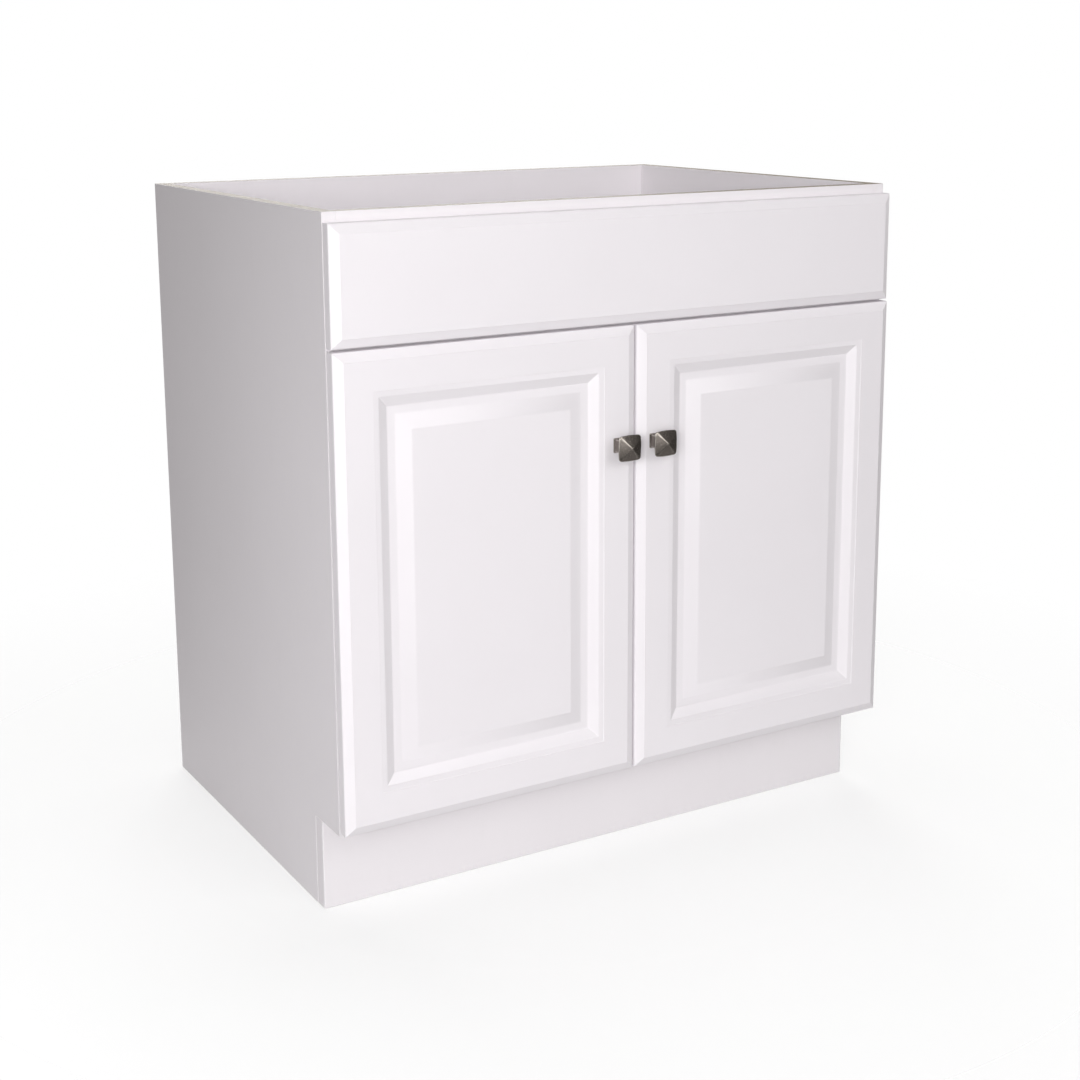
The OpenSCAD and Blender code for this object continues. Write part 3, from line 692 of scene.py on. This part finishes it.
# Parts of the head's height, and how much narrower the recess is at its floor
RECESS_TOP = 0.02
RECESS_FLOOR = 0.75
RECESS_TAPER = 0.75
# A head's dome from the recess to its underside, as (part of the radius, part of the height)
DOME = ((0.70, 0.05), (0.86, 0.16), (0.96, 0.34), (1.0, 0.60), (1.0, 1.0))


def cross_radius(angle, head_r):
    """Distance from the centre of a cross recess to its outline, in a direction."""
    reach = head_r * RECESS_L
    half = head_r * RECESS_W
    c, s = abs(math.cos(angle)), abs(math.sin(angle))
    along = min(reach / max(c, 1e-6), half / max(s, 1e-6))
    across = min(reach / max(s, 1e-6), half / max(c, 1e-6))
    return max(along, across)


def screw(builder, low, high, axis, head_first):
    """One pan-head screw with a cross recess, filling its CAD solid's box along an axis."""
    centre = (low + high) / 2.0
    others = [k for k in range(3) if k != axis]
    head_r = (high[others[0]] - low[others[0]]) / 2.0
    total = high[axis] - low[axis]
    head_t = head_r * HEAD_HEIGHT
    shank_r = head_r * SHANK

    def ring(radius, along, cross=0.0):
        """A circle at a distance from the top of the head, or the recess's outline scaled by cross."""
        points = []
        for i in range(SCREW_SIDES):
            angle = 2.0 * math.pi * i / SCREW_SIDES
            r = min(radius, cross_radius(angle, head_r) * cross) if cross else radius
            point = Vector((0.0, 0.0, 0.0))
            point[others[0]] = centre[others[0]] + r * math.cos(angle)
            point[others[1]] = centre[others[1]] + r * math.sin(angle)
            point[axis] = (low[axis] + along) if head_first else (high[axis] - along)
            points.append(point)
        return points

    rings = [
        ring(head_r, head_t * RECESS_FLOOR, RECESS_TAPER),
        ring(head_r, head_t * RECESS_TOP, 1.0),
    ]
    wear_and_sheen = [[0.0] * SCREW_SIDES, [1.0] * SCREW_SIDES]
    for r, t in DOME:
        rings.append(ring(head_r * r, head_t * t))
        wear_and_sheen.append([0.8 if t < 0.4 else 0.2] * SCREW_SIDES)
    rings.append(ring(shank_r, head_t))
    rings.append(ring(shank_r, total - shank_r))
    rings.append(ring(shank_r * TIP, total))
    wear_and_sheen += [[0.0] * SCREW_SIDES] * 3
    loft(builder, rings, wear_and_sheen=wear_and_sheen)


def screw_nodes():
    """Screw nodes as (node, axis its screws lie along, True where the heads face the axis's low end)."""
    rows = [("false_front_screws", 1, False)]
    for side in SIDES:
        inner = side == "right"
        rows += [
            (side + "_hinge_plate_screws", 0, inner),
            (side + "_hinge_arm_screws", 0, inner),
            (side + "_hinge_cup_screws", 1, False),
            (side + "_knob_screw", 1, False),
        ]
    return rows


def mixed_screws(node):
    """Screws of a node along several axes: heads below on upright ones, inside the cabinet on the rest."""
    builder = bmesh.new()
    middle = (CAD_LOW + CAD_HIGH) / 2.0
    for low, high in solids(node):
        size = high - low
        axis = max(range(3), key=lambda k: size[k])
        centre = (low + high) / 2.0
        head_first = centre[axis] > middle[axis] or axis == 2
        screw(builder, low, high, axis, head_first)
    add_piece(node + "_crosshead", builder, node, SMALL_SMOOTH)


def make_screws():
    """Every screw of the cabinet."""
    for node, axis, head_first in screw_nodes():
        builder = bmesh.new()
        for low, high in solids(node):
            screw(builder, low, high, axis, head_first)
        add_piece(node + "_crosshead", builder, node, SMALL_SMOOTH)
    mixed_screws("corner_block_screws")
    mixed_screws("toe_kick_screws")


make_screws()

# ---------------------------------------------------------------- knobs and bumpers

KNOB_SIDE_POINTS = 10
KNOB_CORNER_POINTS = 6
# The largest corner radius, as part of the half width, and how much a corner's first point counts as corner
CORNER_SHARE = 0.98
CORNER_START = 0.8


def square_ring(half, corner, bow):
    """A square outline with round corners and slightly bowed sides, as (x, z, how near a corner)."""
    corner = min(corner, half * CORNER_SHARE)
    points = []
    for quarter in range(4):
        turn = Matrix.Rotation(math.pi / 2.0 * quarter, 2)
        flat = half - corner
        for i in range(KNOB_SIDE_POINTS):
            t = 2.0 * i / KNOB_SIDE_POINTS - 1.0
            bulge = bow * (1.0 - t * t)
            points.append((turn @ Vector((half + bulge, t * flat)), 0.0))
        for i in range(KNOB_CORNER_POINTS):
            angle = math.pi / 2.0 * i / KNOB_CORNER_POINTS
            spot = Vector((flat + corner * math.cos(angle), flat + corner * math.sin(angle)))
            points.append((turn @ spot, 1.0 if i else CORNER_START))
    return points


# Knob sections in millimetres: half width, height above the door, corner radius, side bow,
# then painted highlight on the flats and painted highlight at the corners, which lighten the post's edges
# and the head's rim, ridges and apex
POST_SECTIONS = (
    (8.1, 0.0, 0.8, 0.0, 0.0, 0.1),
    (8.6, 0.25, 0.9, 0.0, 0.3, 0.6),
    (8.75, 0.7, 1.0, 0.0, 0.0, 0.5),
    (8.75, 1.6, 1.0, 0.0, 0.0, 0.5),
    (8.55, 2.1, 1.0, 0.0, 0.5, 0.8),
    (8.0, 2.6, 1.0, 0.0, 0.0, 0.4),
    (7.65, 3.3, 1.0, 0.0, 0.0, 0.4),
    (7.5, 4.4, 1.0, 0.0, 0.0, 0.6),
    (7.5, 16.0, 1.0, 0.0, 0.0, 0.6),
)
HEAD_SECTIONS = (
    (7.5, 16.0, 1.0, 0.0, 0.0, 0.2),
    (8.2, 17.3, 1.2, 0.05, 0.0, 0.1),
    (9.8, 18.6, 1.8, 0.2, 0.0, 0.1),
    (12.2, 19.7, 2.6, 0.3, 0.0, 0.1),
    (14.0, 20.3, 3.2, 0.45, 0.1, 0.2),
    (14.7, 20.8, 3.6, 0.5, 0.4, 0.5),
    (14.85, 21.4, 3.7, 0.55, 0.1, 0.3),
    (14.8, 21.9, 3.7, 0.55, 0.4, 0.5),
    (14.4, 22.3, 3.6, 0.5, 0.6, 0.6),
    (13.9, 22.5, 3.4, 0.5, 0.1, 0.2),
    (13.5, 22.62, 3.2, 0.45, 0.0, 0.05),
    (13.1, 22.8, 3.0, 0.45, 0.0, 0.1),
    (11.0, 23.7, 2.4, 0.35, 0.0, 0.25),
    (8.0, 24.95, 1.7, 0.2, 0.0, 0.3),
    (5.0, 26.15, 1.2, 0.1, 0.0, 0.35),
    (2.5, 27.1, 0.8, 0.0, 0.0, 0.4),
    (1.2, 27.55, 0.45, 0.0, 0.2, 0.5),
    (0.6, 27.78, 0.3, 0.0, 0.5, 0.7),
    (0.25, 27.88, 0.15, 0.0, 0.7, 0.8),
)


def knob_part(name, node, sections, centre, face_y):
    """One lofted square part of a knob, standing on the door's face."""
    builder = bmesh.new()
    rings, wear_and_sheen = [], []
    for half, height, corner, bow, on_flats, on_corners in sections:
        ring, values = [], []
        for spot, near_corner in square_ring(half * MM, corner * MM, bow * MM):
            ring.append(Vector((centre.x + spot.x, face_y - height * MM, centre.z + spot.y)))
            # The painted highlight of each point, from its section's flats and corners
            values.append(on_corners * near_corner if near_corner else on_flats)
        rings.append(ring)
        wear_and_sheen.append(values)
    loft(builder, rings, wear_and_sheen=wear_and_sheen)
    add_piece(name, builder, node, KNOB_SMOOTH)


BUMPER_SIDES = 40
# A bumper's outline as (part of its radius, part of its height)
BUMPER_DOME = ((1.0, 0.0), (1.0, 0.35), (0.96, 0.6), (0.86, 0.82), (0.68, 0.95), (0.35, 1.0))


def bumpers(side):
    """Two small domed bumpers stuck to the back of a door."""
    node = side + "_door_bumpers"
    builder = bmesh.new()
    for low, high in solids(node):
        centre = (low + high) / 2.0
        radius = (high.x - low.x) / 2.0
        height = high.y - low.y
        loft(builder, [
            circle_points((centre.x, centre.z), radius * r, BUMPER_SIDES, low.y + height * t)
            for r, t in BUMPER_DOME
        ])
    add_piece(node + "_domed", builder, node, SMALL_SMOOTH)


def make_knobs():
    """The knob and the bumpers of each door."""
    for side in SIDES:
        low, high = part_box(side + "_knob_post")
        centre = (low + high) / 2.0
        knob_part(side + "_knob_post_cast", side + "_knob_post", POST_SECTIONS, centre, high.y)
        knob_part(side + "_knob_head_cast", side + "_knob_head", HEAD_SECTIONS, centre, high.y)
        bumpers(side)


make_knobs()

# ---------------------------------------------------------------- floor

FLOOR_HALF = 9.0
FLOOR_DROP = 0.5 * MM
# Distances from the cabinet's middle where the floor starts to fade and where nothing is left of it
FLOOR_SOLID = 0.5
FLOOR_GONE = 1.25
# How opaque the floor is before it fades, and the light it gives off
FLOOR_COVER = 0.45
FLOOR_GLOW = 0.15


def make_floor():
    """A plain pale floor that fades into the pale background away from the cabinet."""
    mesh = bpy.data.meshes.new("floor")
    half = FLOOR_HALF
    corners = [(-half, -half), (half, -half), (half, half), (-half, half)]
    mesh.from_pydata([(x, y, -FLOOR_DROP) for x, y in corners], [], [(0, 1, 2, 3)])
    floor = bpy.data.objects.new("floor", mesh)
    bpy.context.scene.collection.objects.link(floor)
    look = Look("floor_white")
    tone = look.ranged(look.noise(1.2, 3.0), 0.0, 1.0)
    look.colour(look.mixed(tone, (0.93, 0.93, 0.93), (0.95, 0.95, 0.95)))
    look.roughness(look.ranged(look.noise(40.0, 3.0), 0.6, 0.75))
    look.shader.inputs["Specular IOR Level"].default_value = 0.2
    look.shader.inputs["Emission Color"].default_value = (*WHITE, 1.0)
    look.shader.inputs["Emission Strength"].default_value = FLOOR_GLOW
    reach = look.nodes.new("ShaderNodeVectorMath")
    reach.operation = "LENGTH"
    look.links.new(look.place, reach.inputs[0])
    fade = look.ranged(reach.outputs["Value"], FLOOR_COVER, 0.0, FLOOR_SOLID, FLOOR_GONE)
    look.links.new(fade, look.shader.inputs["Alpha"])
    mesh.materials.append(look.material)


make_floor()
